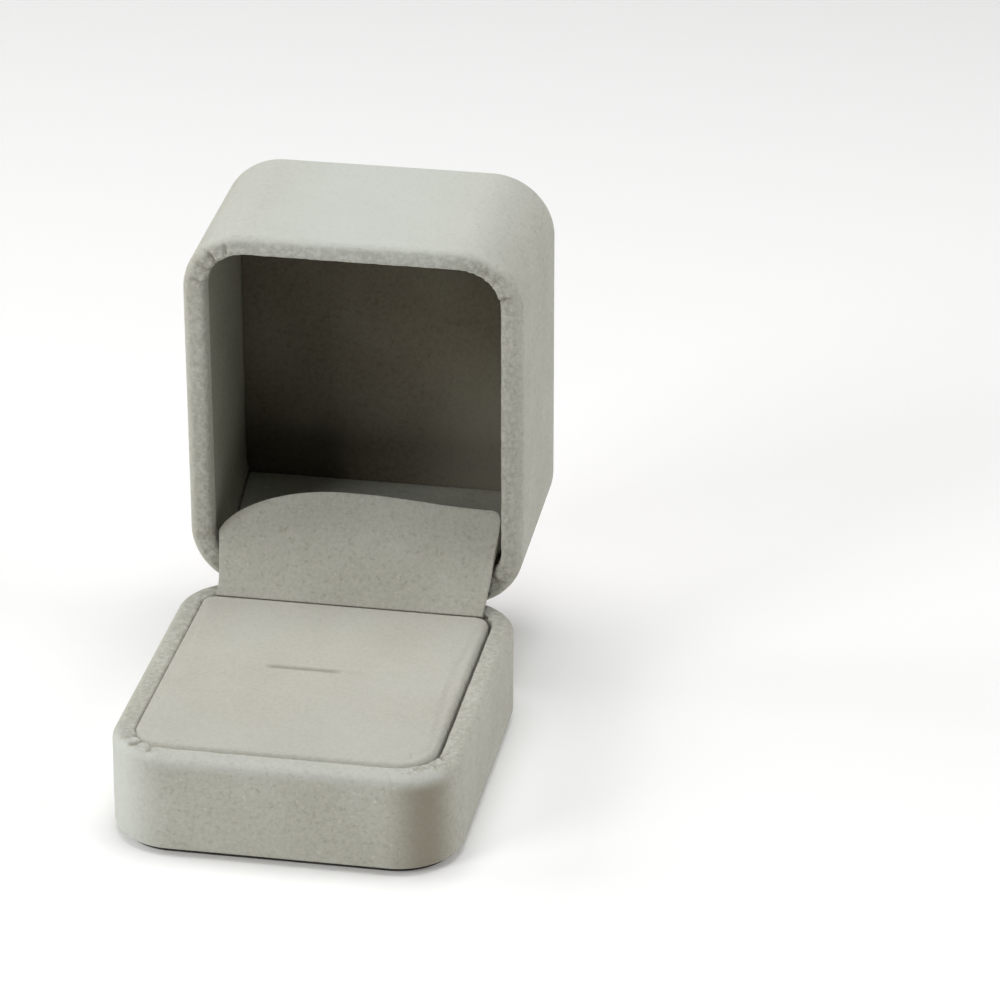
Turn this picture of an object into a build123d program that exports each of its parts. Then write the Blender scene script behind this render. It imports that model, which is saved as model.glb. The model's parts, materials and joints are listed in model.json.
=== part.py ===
from build123d import *
from math import cos, radians, sin
import os

# A hinged ring box covered in velvet, standing open. Sizes are millimetres.
# The origin is the middle of the underside, X runs along the hinge, the front faces -Y.

# The box as a whole
box_width = 50.0
box_depth = 57.5
corner_radius = 9.4
base_height = 15.4
lid_height = 29.3
parting_gap = 0.3
open_angle = 87.5

# Walls and covers
velvet = 0.6
shell_wall = 2.0
glue_gap = 0.05
rim_round_outside = 1.3
rim_round_inside = 0.9
foot_round = 1.4
base_floor = 2.4
sole_thickness = 0.6
sole_inset = 1.6
velvet_turned_in = 3.0
velvet_turned_under = 8.0

# Ring pad in the base
pad_side_room = 0.4
pad_front_room = 0.35
pad_rear_room = 3.65
pad_proud = 0.8
pad_front_radius = 5.6
pad_rear_radius = 2.0
pad_edge_round = 1.4
pad_crown = 0.35
pad_card_thickness = 1.0
slit_length = 15.0
slit_width = 0.8
slit_depth = 6.0
slit_behind_middle = 1.2

# Flap that covers the hinge
flap_side_room = 1.1
flap_foot_side_room = 2.2
flap_length = 17.0
flap_bow = 1.2
flap_corner_radius = 3.0
flap_card_thickness = 0.4
flap_velvet = 0.4
flap_lean = 50.0
flap_pivot_drop = 0.2
flap_room = 0.4
tongue_side_room = 1.7
tongue_thickness = 0.7

# Hinge
hinge_corner_room = 0.1
hinge_inset = 1.2
knuckle_radius = 1.15
knuckle_count = 5
knuckle_gap = 0.3
pin_radius = 0.55
pin_clearance = 0.05
pin_head_radius = 0.95
pin_head_thickness = 0.35
leaf_thickness = 0.6
leaf_length = 8.6
barrel_room = 0.35
bevel_room = 0.2
rivet_from_end = 5.5
rivet_radius = 0.8
rivet_head_radius = 1.5
rivet_head_thickness = 0.4
rivet_depth = 1.3
rivet_from_axis = 5.0
spring_width = 7.0
spring_thickness = 0.3
spring_reach = 7.4
spring_bend = 3.2

# Inside of the lid
ceiling_card_thickness = 1.0
deck_thickness = 1.4
lining_thickness = 0.9
lining_foot_inset = 4.9
lining_head_inset = 7.0
lining_side_room = 0.15

# Padded top
top_pad_recess = 1.7
top_pad_room = 0.15
top_pad_card_thickness = 0.6
top_pad_proud = 2.4
top_pad_edge_round = 2.2
top_pad_crown = 0.9

# Sizes that follow from the ones above
rim_width = shell_wall + 2 * (velvet + glue_gap)
cover = velvet + glue_gap
shell_inside = cover + shell_wall
base_foot = sole_thickness + glue_gap
base_floor_top = base_foot + cover + base_floor
hinge_y = box_depth / 2 - hinge_inset
hinge_z = base_height + parting_gap / 2
hinge_axis = Axis((0, hinge_y, hinge_z), (1, 0, 0))
lid_mouth = base_height + parting_gap
lid_top = lid_mouth + lid_height
deck_top = lid_top - top_pad_recess
deck_low = deck_top - deck_thickness
ceiling_card_low = deck_low - glue_gap - ceiling_card_thickness
ceiling = ceiling_card_low - cover
slot_half = knuckle_radius + barrel_room
mouth_width = box_width - 2 * rim_width
pad_width = mouth_width - 2 * pad_side_room
pad_front = -box_depth / 2 + rim_width + pad_front_room
pad_rear = box_depth / 2 - rim_width - pad_rear_room
pad_length = pad_rear - pad_front
pad_top = base_height + pad_proud
pad_card_low = base_floor_top + glue_gap
pad_card_top = pad_card_low + pad_card_thickness
flap_width = mouth_width - 2 * flap_side_room
flap_foot_width = mouth_width - 2 * flap_foot_side_room
tongue_width = mouth_width - 2 * tongue_side_room
flap_half = flap_card_thickness / 2 + glue_gap + flap_velvet
flap_pivot_y = pad_rear + flap_room + flap_half
flap_pivot_z = base_height - flap_pivot_drop
leaf_face = box_depth / 2 - shell_inside - glue_gap
hinge_width = box_width - 2 * (corner_radius + hinge_corner_room)
rivet_spread = hinge_width - 2 * rivet_from_end
big = 200.0
overshoot = 1.0
lining_cut_behind = 20.0


def block(inset, low, high):
    # A rounded upright block, as wide as the box less the inset all round.
    plan = RectangleRounded(box_width - 2 * inset, box_depth - 2 * inset, corner_radius - inset)
    return Pos(0, 0, low) * extrude(plan, amount=high - low)


def half_space(angle, offset):
    # Everything past a plane along the hinge axis, turned from level by the angle.
    return Pos(0, hinge_y, hinge_z) * Rot(angle, 0, 0) * Pos(0, 0, big / 2 - offset) * Box(big, big, big)


def base_bevel(inset):
    # What the base loses behind the hinge axis, so that the open lid has room.
    return half_space(-45, bevel_room + inset)


def lid_bevel(inset):
    return half_space(-135, bevel_room + inset)


def slab(width, rear, front, low, high):
    # A plain block centred on X, between two planes of Y and two heights.
    return Pos(0, (front + rear) / 2, (low + high) / 2) * Box(width, abs(rear - front), high - low)


def barrel_slot():
    # The opening through both rear walls that the hinge barrel sits in.
    width = hinge_width + 2 * barrel_room
    front = leaf_face - leaf_thickness - glue_gap
    return slab(width, box_depth, front, hinge_z - slot_half, hinge_z + slot_half)


def leaf_room():
    # Where the turned-in velvet is left off for both hinge leaves.
    width = hinge_width + 2 * barrel_room
    reach = leaf_length + barrel_room
    front = leaf_face - leaf_thickness - glue_gap
    return slab(width, leaf_face + glue_gap, front, hinge_z - reach, hinge_z + reach)


def round_rim(ring, place):
    # Rounds the outer and the inner edge of a ring's top or bottom face.
    face = ring.faces().sort_by(Axis.Z)[place]
    ring = fillet(face.outer_wire().edges(), rim_round_outside)
    face = ring.faces().sort_by(Axis.Z)[place]
    return fillet(face.inner_wires()[0].edges(), rim_round_inside)


def make_base_sole():
    return block(sole_inset, 0, sole_thickness)


def make_base_velvet():
    # Velvet over the outside and the rim, turned in at the top and under at the foot.
    skin = block(0, base_foot, base_height)
    skin = fillet(skin.edges().group_by(Axis.Z)[0], foot_round)
    skin -= block(rim_width, base_foot + velvet, base_height + overshoot)
    skin = round_rim(skin, -1)
    skin -= base_bevel(0)
    core = block(velvet, base_foot + velvet, base_height - velvet)
    core -= block(rim_width - velvet, base_height - velvet_turned_in, base_height)
    core -= base_bevel(velvet)
    skin -= core
    skin -= block(velvet_turned_under, 0, base_foot + velvet + overshoot)
    return skin - barrel_slot() - leaf_room()


def make_base_shell():
    shell = block(cover, base_foot + cover, base_height - cover)
    shell = fillet(shell.edges().group_by(Axis.Z)[0], foot_round - cover)
    shell -= block(shell_inside, base_floor_top, base_height)
    shell -= base_bevel(cover)
    shell -= barrel_slot()
    return shell - rivet_holes(-1)


def pad_plan(inset):
    middle = (pad_front + pad_rear) / 2
    plan = Pos(0, middle) * Rectangle(pad_width - 2 * inset, pad_length - 2 * inset)
    plan = fillet(plan.vertices().group_by(Axis.Y)[0], pad_front_radius - inset)
    return fillet(plan.vertices().group_by(Axis.Y)[-1], pad_rear_radius - inset)


def cushion(plan, low, high, crown, edge_round):
    # A flat-bottomed cushion with a crowned top and soft top edges.
    body = Pos(0, 0, low) * extrude(plan, amount=high - low)
    middle = plan.bounding_box().center()
    size = plan.bounding_box().size
    radius = (size.X ** 2 + size.Y ** 2) / (8 * crown)
    body &= Pos(middle.X, middle.Y, high - radius) * Sphere(radius)
    top = body.faces().filter_by(Plane.XY, reverse=True).sort_by(Axis.Z)[-1]
    return fillet(top.outer_wire().edges(), edge_round)


def slit_block(extra, low):
    middle = (pad_front + pad_rear) / 2 + slit_behind_middle
    size = Box(slit_length + 2 * extra, slit_width + 2 * extra, big)
    return Pos(0, middle, low + big / 2) * size


def make_pad_card():
    return Pos(0, 0, pad_card_low) * extrude(pad_plan(cover), amount=pad_card_thickness)


def make_pad_foam():
    low = pad_card_top + glue_gap
    foam = cushion(pad_plan(cover), low, pad_top - cover, pad_crown, pad_edge_round - cover)
    return foam - slit_block(cover, low - overshoot)


def make_pad_velvet():
    # Velvet over the top and sides of the pad, with lips that turn down into the slit.
    skin = cushion(pad_plan(0), pad_card_low, pad_top, pad_crown, pad_edge_round)
    core = cushion(pad_plan(velvet), pad_card_low - overshoot, pad_top - velvet, pad_crown,
                   pad_edge_round - velvet)
    core -= slit_block(velvet, pad_top - slit_depth)
    return skin - core - slit_block(0, pad_top - slit_depth - overshoot)


def make_flap_tongue():
    # The strip behind the pad that the flap is glued to.
    top = flap_pivot_z - flap_half - parting_gap
    front = pad_rear + flap_room / 2
    return slab(tongue_width, front + tongue_thickness, front, base_floor_top + glue_gap, top)


def flap_plan(inset):
    # The flap laid flat: straight foot, round corners, gently bowed top.
    half = flap_width / 2 - inset
    foot_half = flap_foot_width / 2 - inset
    side = flap_length - flap_bow - inset
    foot = Line((-foot_half, 0), (foot_half, 0))
    right = Line((foot_half, 0), (half, side))
    top = ThreePointArc((half, side), (0, flap_length - inset), (-half, side))
    left = Line((-half, side), (-foot_half, 0))
    plan = make_face([foot, right, top, left])
    corners = plan.vertices().sort_by(Axis.Y)[-2:]
    return fillet(corners, flap_corner_radius - inset)


def flap_place():
    # Stands the flap on its pivot, leaning back as it does when the box is open.
    return Pos(0, flap_pivot_y, flap_pivot_z) * Rot(flap_lean, 0, 0)


def make_flap_card():
    card = extrude(flap_plan(flap_velvet + glue_gap), amount=flap_card_thickness)
    card = Pos(0, 0, -flap_card_thickness / 2) * card
    return flap_place() * (card - Box(big, 2 * glue_gap, big))


def make_flap_velvet():
    # Velvet round the card on both faces, with a round foot on the pivot.
    skin = Pos(0, 0, -flap_half) * extrude(flap_plan(0), amount=2 * flap_half)
    foot = Rot(0, 90, 0) * Cylinder(flap_half, flap_foot_width)
    core_height = flap_card_thickness + 2 * glue_gap
    core = Pos(0, 0, -core_height / 2) * extrude(flap_plan(flap_velvet), amount=core_height)
    return flap_place() * (skin + foot - core)


def knuckle_span(index):
    # The low and high X of one knuckle.
    pitch = hinge_width / knuckle_count
    low = -hinge_width / 2 + index * pitch
    return low + knuckle_gap / 2, low + pitch - knuckle_gap / 2


def make_leaf(side, first):
    # A stamped leaf: a flat plate inside the wall, a bent web and its knuckles.
    far = hinge_z + side * leaf_length
    near = hinge_z + side * (knuckle_radius - leaf_thickness)
    bend = hinge_z + side * knuckle_radius
    leaf = slab(hinge_width, leaf_face, leaf_face - leaf_thickness, min(far, near), max(far, near))
    for index in range(first, knuckle_count, 2):
        low, high = knuckle_span(index)
        middle = (low + high) / 2
        web = slab(high - low, hinge_y, leaf_face - leaf_thickness, min(bend, near), max(bend, near))
        leaf += Pos(middle, 0, 0) * web
        barrel = Rot(0, 90, 0) * Cylinder(knuckle_radius, high - low)
        leaf += Pos(middle, hinge_y, hinge_z) * barrel
    bore = Rot(0, 90, 0) * Cylinder(pin_radius + pin_clearance, big)
    leaf -= Pos(0, hinge_y, hinge_z) * bore
    return leaf - rivet_holes(side)


def make_pin():
    pin = Rot(0, 90, 0) * Cylinder(pin_radius, hinge_width)
    for side in (-1, 1):
        place = side * (hinge_width + pin_head_thickness) / 2
        pin += Pos(place, 0, 0) * Rot(0, 90, 0) * Cylinder(pin_head_radius, pin_head_thickness)
    return Pos(0, hinge_y, hinge_z) * pin


def rivet_places(side):
    height = hinge_z + side * rivet_from_axis
    return [(-rivet_spread / 2, height), (rivet_spread / 2, height)]


def rivet_holes(side):
    # Holes for the shanks, through the leaf and part way into the wall.
    front = leaf_face - leaf_thickness - overshoot
    depth = leaf_face + rivet_depth + glue_gap
    holes = Part()
    for x, z in rivet_places(side):
        drill = Rot(90, 0, 0) * Cylinder(rivet_radius + glue_gap, depth - front)
        holes += Pos(x, (front + depth) / 2, z) * drill
    return holes


def make_rivets(side):
    rivets = []
    seat = leaf_face - leaf_thickness - glue_gap
    for x, z in rivet_places(side):
        length = leaf_face + rivet_depth - seat
        shank = Rot(90, 0, 0) * Cylinder(rivet_radius, length)
        head = Rot(90, 0, 0) * Cylinder(rivet_head_radius, rivet_head_thickness)
        rivet = Pos(x, seat + length / 2, z) * shank
        rivet += Pos(x, seat - rivet_head_thickness / 2, z) * head
        rivets.append(rivet)
    return rivets


def turn_with_lid(y, z, angle):
    # Where a point of the closed lid is once the lid is open.
    turn = radians(angle)
    across = y - hinge_y
    up = z - hinge_z
    return hinge_y + across * cos(turn) + up * sin(turn), hinge_z - across * sin(turn) + up * cos(turn)


def make_spring():
    # The bent strip between the leaves that snaps the lid open and shut.
    face = leaf_face - leaf_thickness - spring_thickness
    start = (face, hinge_z - spring_reach)
    end = turn_with_lid(face, hinge_z + spring_reach, open_angle)
    near = turn_with_lid(face, hinge_z, open_angle)
    slope = (end[1] - near[1]) / (end[0] - near[0])
    corner = (face, near[1] + slope * (face - near[0]))
    with BuildPart() as strip:
        with BuildLine() as path:
            points = [(0, start[0], start[1]), (0, corner[0], corner[1]), (0, end[0], end[1])]
            FilletPolyline(*points, radius=spring_bend)
        with BuildSketch(Plane(origin=points[0], x_dir=(1, 0, 0), z_dir=(0, 0, 1))):
            Rectangle(spring_width, spring_thickness)
        sweep()
    return strip.part


def make_lid_velvet():
    # Velvet over the outside of the lid, turned in over both rims.
    skin = block(0, lid_mouth, lid_top) - block(rim_width, lid_mouth - overshoot, lid_top + overshoot)
    skin = round_rim(skin, 0)
    skin = round_rim(skin, -1)
    skin -= lid_bevel(0)
    core = block(velvet, lid_mouth + velvet, lid_top - velvet)
    core -= block(rim_width - velvet, lid_mouth, lid_mouth + velvet_turned_in)
    core -= block(rim_width - velvet, deck_top + glue_gap, lid_top)
    core -= lid_bevel(velvet)
    return skin - core - barrel_slot() - leaf_room()


def make_lid_shell():
    # Side walls with a deck across them; the padded top lies on the deck.
    shell = block(cover, lid_mouth + cover, lid_top - cover)
    shell -= block(shell_inside, lid_mouth, deck_low)
    shell -= block(shell_inside, deck_top, lid_top)
    shell -= lid_bevel(cover)
    shell -= barrel_slot()
    return shell - rivet_holes(1)


def lining_plate(front_room, back_room):
    # The sloping space that the rear lining fills, more or less by the rooms given.
    foot = lid_mouth + velvet_turned_in + glue_gap
    rear = box_depth / 2
    with BuildPart() as plate:
        with BuildSketch(Plane.YZ.offset(-box_width / 2)):
            with BuildLine():
                front_foot = (rear - lining_foot_inset - front_room, foot)
                front_head = (rear - lining_head_inset - front_room, ceiling - glue_gap)
                back_head = (front_head[0] + lining_thickness + front_room + back_room, front_head[1])
                back_foot = (front_foot[0] + lining_thickness + front_room + back_room, foot)
                Polyline(front_foot, front_head, back_head, back_foot, close=True)
            make_face()
        extrude(amount=box_width)
    return plate.part


def make_lid_rear_lining():
    # A velvet-covered card that slopes over the hinge leaf up to the ceiling.
    foot = lid_mouth + velvet_turned_in + glue_gap
    return lining_plate(0, 0) & block(shell_inside + lining_side_room, foot - overshoot, ceiling)


def make_lid_wall_lining():
    # One strip round the front and the sides, up to the rear lining.
    foot = lid_mouth + velvet_turned_in + glue_gap
    strip = block(shell_inside + glue_gap, foot, ceiling - glue_gap)
    strip -= block(rim_width, foot - overshoot, ceiling)
    return strip - lining_plate(lining_side_room, lining_cut_behind)


def make_ceiling_velvet():
    return block(shell_inside + glue_gap, ceiling, ceiling + velvet)


def make_ceiling_card():
    return block(shell_inside + glue_gap, ceiling_card_low, ceiling_card_low + ceiling_card_thickness)


def top_plan(inset):
    edge = rim_width + top_pad_room + inset
    return RectangleRounded(box_width - 2 * edge, box_depth - 2 * edge, corner_radius - edge)


def make_top_pad_card():
    low = deck_top + glue_gap
    return Pos(0, 0, low) * extrude(top_plan(cover), amount=top_pad_card_thickness)


def make_top_pad_foam():
    low = deck_top + top_pad_card_thickness + 2 * glue_gap
    high = lid_top + top_pad_proud - cover
    return cushion(top_plan(cover), low, high, top_pad_crown, top_pad_edge_round - cover)


def make_top_pad_velvet():
    low = deck_top + glue_gap
    high = lid_top + top_pad_proud
    skin = cushion(top_plan(0), low, high, top_pad_crown, top_pad_edge_round)
    return skin - cushion(top_plan(velvet), low - overshoot, high - velvet, top_pad_crown,
                          top_pad_edge_round - velvet)


base_parts = {
    "base_sole": make_base_sole(),
    "base_velvet": make_base_velvet(),
    "base_shell": make_base_shell(),
    "pad_card": make_pad_card(),
    "pad_foam": make_pad_foam(),
    "pad_velvet": make_pad_velvet(),
    "flap_tongue": make_flap_tongue(),
    "hinge_base_leaf": make_leaf(-1, 0),
    "hinge_pin": make_pin(),
    "base_leaf_rivets": make_rivets(-1),
    "hinge_spring": make_spring(),
    "flap_card": make_flap_card(),
    "flap_velvet": make_flap_velvet(),
}
closed_lid_parts = {
    "lid_velvet": make_lid_velvet(),
    "lid_shell": make_lid_shell(),
    "lid_wall_lining": make_lid_wall_lining(),
    "lid_rear_lining": make_lid_rear_lining(),
    "lid_ceiling_velvet": make_ceiling_velvet(),
    "lid_ceiling_card": make_ceiling_card(),
    "top_pad_card": make_top_pad_card(),
    "top_pad_foam": make_top_pad_foam(),
    "top_pad_velvet": make_top_pad_velvet(),
    "hinge_lid_leaf": make_leaf(1, 1),
    "lid_leaf_rivets": make_rivets(1),
}


def solids_of(piece):
    # The separate solids of a piece, or of a list of pieces.
    members = piece if isinstance(piece, list) else [piece]
    return [solid for member in members for solid in member.solids()]


os.makedirs("parts", exist_ok=True)
for name, piece in base_parts.items():
    export_step(Compound(solids_of(piece)), f"parts/{name}.step")
for name, piece in closed_lid_parts.items():
    opened = [solid.rotate(hinge_axis, -open_angle) for solid in solids_of(piece)]
    export_step(Compound(opened), f"parts/{name}.step")
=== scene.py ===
import bmesh
import bpy
import json
from math import atan2, cos, degrees, exp, hypot, pi, radians, sin, sqrt
from mathutils import Matrix, Vector, kdtree, noise

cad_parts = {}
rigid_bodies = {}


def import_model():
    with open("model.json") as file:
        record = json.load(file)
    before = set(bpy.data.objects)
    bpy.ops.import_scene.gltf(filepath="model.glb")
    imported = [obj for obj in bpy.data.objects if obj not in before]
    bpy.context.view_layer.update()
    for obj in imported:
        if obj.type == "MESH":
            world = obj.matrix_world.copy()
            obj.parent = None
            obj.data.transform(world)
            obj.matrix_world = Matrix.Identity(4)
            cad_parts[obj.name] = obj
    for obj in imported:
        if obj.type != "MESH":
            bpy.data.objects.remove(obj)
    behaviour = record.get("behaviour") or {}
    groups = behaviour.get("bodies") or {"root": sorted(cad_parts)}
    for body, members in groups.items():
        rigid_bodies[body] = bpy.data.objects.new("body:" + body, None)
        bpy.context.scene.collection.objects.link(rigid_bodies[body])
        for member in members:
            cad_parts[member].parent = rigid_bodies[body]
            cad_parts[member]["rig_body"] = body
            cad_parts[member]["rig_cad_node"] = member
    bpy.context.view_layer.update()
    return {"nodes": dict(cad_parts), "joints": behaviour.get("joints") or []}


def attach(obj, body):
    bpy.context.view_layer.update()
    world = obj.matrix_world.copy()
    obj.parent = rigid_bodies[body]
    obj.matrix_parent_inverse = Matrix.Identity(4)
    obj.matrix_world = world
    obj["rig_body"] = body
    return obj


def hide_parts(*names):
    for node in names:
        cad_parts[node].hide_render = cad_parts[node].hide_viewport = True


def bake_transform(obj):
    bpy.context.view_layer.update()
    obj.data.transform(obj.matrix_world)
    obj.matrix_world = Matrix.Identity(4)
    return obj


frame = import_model()

# Pieces are modelled in millimetres with the lid shut, then turned open and brought to metres.
mm = 0.001
joints = {joint["name"]: joint for joint in frame["joints"]}
hingePoint = Vector(joints["lid_hinge"]["pos_m"]) / mm
openAngle = radians(joints["lid_hinge"]["range_deg"][1])
flapPoint = Vector(joints["flap_fold"]["pos_m"]) / mm
lidTurn = (Matrix.Translation(hingePoint) @ Matrix.Rotation(-openAngle, 4, "X")
           @ Matrix.Translation(-hingePoint))


def nodeBox(node, shut=False):
    # The corners of a frame node in millimetres, as it is with the lid shut if asked.
    back = lidTurn.inverted() if shut else Matrix.Identity(4)
    points = [back @ (vertex.co / mm) for vertex in frame["nodes"][node].data.vertices]
    low = Vector([min(point[i] for point in points) for i in range(3)])
    high = Vector([max(point[i] for point in points) for i in range(3)])
    return low, high


baseLow, baseHigh = nodeBox("base_velvet")
lidLow, lidHigh = nodeBox("lid_velvet", shut=True)
padLow, padHigh = nodeBox("pad_velvet")
topPadLow, topPadHigh = nodeBox("top_pad_velvet", shut=True)
barrelHigh = nodeBox("hinge_pin")[1]
boxSize = {"width": baseHigh.x - baseLow.x, "depth": baseHigh.y - baseLow.y, "corner": 9.4,
           "rim": 3.3, "rimOutside": 1.3, "rimInside": 0.9, "skin": 0.5, "cornerShare": 1.7}
print("frame read", [round(value, 2) for value in (*baseHigh, *lidHigh)])


def clearSelection():
    if bpy.context.object and bpy.context.object.mode != "OBJECT":
        bpy.ops.object.mode_set(mode="OBJECT")
    bpy.ops.object.select_all(action="DESELECT")


def editPiece(piece):
    clearSelection()
    piece.select_set(True)
    bpy.context.view_layer.objects.active = piece
    bpy.ops.object.mode_set(mode="EDIT")


def pick(piece, kind, test):
    # Selects the faces, edges or verts of the piece that pass the test.
    bpy.ops.mesh.select_all(action="DESELECT")
    mesh = bmesh.from_edit_mesh(piece.data)
    for item in getattr(mesh, kind):
        if test(item):
            item.select_set(True)
    mesh.select_flush_mode()
    bmesh.update_edit_mesh(piece.data)


def outlinePoint(size, turn, inset):
    # A point of the rounded outline, a given part of the way round and so far in from it.
    # It starts in the middle of the rear and goes clockwise; the corners get the most points.
    halfX, halfY, corner = size["width"] / 2, size["depth"] / 2, size["corner"]
    flatX, flatY = halfX - corner, halfY - corner
    arc = size["cornerShare"] * corner * pi / 2
    legs = (("rear", flatX), (90, arc), ("right", 2 * flatY), (0, arc), ("front", 2 * flatX), (-90, arc),
            ("left", 2 * flatY), (180, arc), ("rearAgain", flatX))
    rest = turn % 1 * sum(length for leg, length in legs)
    for leg, length in legs:
        if rest <= length + 0.000001:
            break
        rest -= length
    straight = {"rear": (rest, halfY - inset), "right": (halfX - inset, flatY - rest),
                "front": (flatX - rest, inset - halfY), "left": (inset - halfX, rest - flatY),
                "rearAgain": (rest - flatX, halfY - inset)}
    if leg in straight:
        return straight[leg]
    angle = radians(leg - 90 * rest / arc)
    centreX = flatX if leg in (90, 0) else -flatX
    centreY = flatY if leg in (90, 180) else -flatY
    return centreX + (corner - inset) * cos(angle), centreY + (corner - inset) * sin(angle)


def startOutline(name, size, height, around):
    # A flat face in the rounded outline, picked and ready to be extruded.
    clearSelection()
    bpy.ops.mesh.primitive_circle_add(vertices=around, radius=size["depth"] / 2, fill_type="NGON")
    piece = bpy.context.object
    piece.name = piece.data.name = name
    for index, vertex in enumerate(piece.data.vertices):
        vertex.co = (*outlinePoint(size, 1 - index / around, 0), height)
    editPiece(piece)
    bpy.ops.mesh.select_mode(type="FACE")
    bpy.ops.mesh.select_all(action="SELECT")
    return piece


def raiseFace(distance, steps):
    for step in range(steps):
        bpy.ops.mesh.extrude_region_move(TRANSFORM_OT_translate={"value": (0, 0, distance / steps)})


def stepIn(across, along, steps=1):
    # Insets the picked face and moves it along its normal.
    for step in range(steps):
        bpy.ops.mesh.inset(thickness=across / steps, depth=along / steps, use_even_offset=True)


def roundIn(radius, steps):
    # Turns from the wall onto the face along a quarter circle.
    for step in range(steps):
        a, b = pi / 2 * step / steps, pi / 2 * (step + 1) / steps
        stepIn(radius * (cos(a) - cos(b)), radius * (sin(b) - sin(a)))


def roundDown(radius, steps):
    # Turns from the face down into the mouth along a quarter circle.
    for step in range(steps):
        a, b = pi / 2 * step / steps, pi / 2 * (step + 1) / steps
        stepIn(radius * (sin(b) - sin(a)), -radius * (cos(a) - cos(b)))


def rollRim(size, lip, direction):
    # From the wall over the rim and down inside, as the velvet is turned in.
    roundIn(size["rimOutside"], 6)
    stepIn(size["rim"] - size["rimOutside"] - size["rimInside"], 0, 3)
    roundDown(size["rimInside"], 5)
    raiseFace(direction * lip, 5)
    bpy.ops.mesh.delete(type="FACE")


def pickEndFace(piece, height):
    pick(piece, "faces", lambda face: len(face.verts) > 50
         and abs(face.calc_center_median().z - height) < 0.01)


def pointOutwards(piece):
    # An open skin can be made consistent the wrong way round: look at its widest face.
    mesh = bmesh.from_edit_mesh(piece.data)
    mesh.normal_update()
    widest = max(mesh.faces, key=lambda face: face.calc_center_median().x)
    if widest.normal.x < 0:
        bpy.ops.mesh.flip_normals()


def thickenSkin(piece, size):
    # Closes the doubles, points the faces outwards and gives the velvet its thickness.
    bpy.ops.mesh.select_all(action="SELECT")
    bpy.ops.mesh.remove_doubles(threshold=0.001)
    bpy.ops.mesh.normals_make_consistent(inside=False)
    pointOutwards(piece)
    clearSelection()
    thicken(piece, size["skin"])


def moveVertices(piece, change):
    # Moves each vertex by what the function gives for its place and normal.
    clearSelection()
    places = [(vertex.co.copy(), vertex.normal.copy()) for vertex in piece.data.vertices]
    for vertex, (place, normal) in zip(piece.data.vertices, places):
        vertex.co = change(place, normal)
    piece.data.update()


def paint(piece, name, value):
    # Keeps a number for each vertex, which the materials read by name.
    layer = piece.data.attributes.new(name, "FLOAT", "POINT")
    layer.data.foreach_set("value", [value(vertex.co) for vertex in piece.data.vertices])


def applyModifiers(piece):
    clearSelection()
    piece.select_set(True)
    bpy.context.view_layer.objects.active = piece
    for modifier in list(piece.modifiers):
        bpy.ops.object.modifier_apply(modifier=modifier.name)


def thicken(piece, thickness):
    solid = piece.modifiers.new("thickness", "SOLIDIFY")
    solid.thickness = thickness
    solid.offset = -1
    applyModifiers(piece)


def finishPiece(piece, body, material, replaced=(), turned=False):
    # Turns a lid piece open, brings it to metres and hands it to its body.
    clearSelection()
    if turned:
        piece.data.transform(lidTurn)
    piece.data.transform(Matrix.Scale(mm, 4))
    piece.data.update()
    piece.select_set(True)
    bpy.context.view_layer.objects.active = piece
    bpy.ops.object.shade_smooth()
    piece.data.materials.clear()
    piece.data.materials.append(material)
    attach(piece, body)
    if replaced:
        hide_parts(*replaced)
    return piece


def smoothStep(value, low, high):
    t = min(1, max(0, (value - low) / (high - low)))
    return t * t * (3 - 2 * t)


def fuzz(place, size, seed=0):
    # Smooth noise from -1 to 1 whose bumps are about the given size in millimetres.
    return noise.noise(place / size + Vector((seed, 2 * seed, -seed)))


def newGroup(name, inputs, outputs):
    tree = bpy.data.node_groups.new(name, "ShaderNodeTree")
    for label, kind, default in inputs:
        socket = tree.interface.new_socket(name=label, in_out="INPUT", socket_type=kind)
        if default is not None:
            socket.default_value = default
    for label, kind in outputs:
        tree.interface.new_socket(name=label, in_out="OUTPUT", socket_type=kind)
    start = tree.nodes.new("NodeGroupInput")
    end = tree.nodes.new("NodeGroupOutput")
    return tree, start, end


def addNode(tree, kind, values=None, links=None, **settings):
    # Adds a node, sets its options and inputs, and links other sockets into it.
    node = tree.nodes.new(kind)
    for key, value in settings.items():
        setattr(node, key, value)
    for key, value in (values or {}).items():
        node.inputs[key].default_value = value
    for key, socket in (links or {}).items():
        tree.links.new(socket, node.inputs[key])
    return node


def addMath(tree, operation, first, second=0.0, clamp=False):
    node = tree.nodes.new("ShaderNodeMath")
    node.operation = operation
    node.use_clamp = clamp
    for index, value in enumerate((first, second)):
        if isinstance(value, (int, float)):
            node.inputs[index].default_value = value
        else:
            tree.links.new(value, node.inputs[index])
    return node.outputs[0]


def addNoise(tree, vector, scale, detail=2.0, roughness=0.5):
    node = addNode(tree, "ShaderNodeTexNoise", {"Scale": scale, "Detail": detail,
                                                "Roughness": roughness}, {"Vector": vector})
    return node.outputs["Fac"]


def addRange(tree, value, low, high, toLow=0.0, toHigh=1.0):
    node = addNode(tree, "ShaderNodeMapRange", {"From Min": low, "From Max": high, "To Min": toLow,
                                                "To Max": toHigh}, {"Value": value})
    return node.outputs["Result"]


def addMix(tree, factor, first, second):
    node = tree.nodes.new("ShaderNodeMix")
    node.data_type = "RGBA"
    for key, value in ((0, factor), (6, first), (7, second)):
        if isinstance(value, (int, float, tuple)):
            node.inputs[key].default_value = value
        else:
            tree.links.new(value, node.inputs[key])
    return node.outputs[2]


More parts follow.
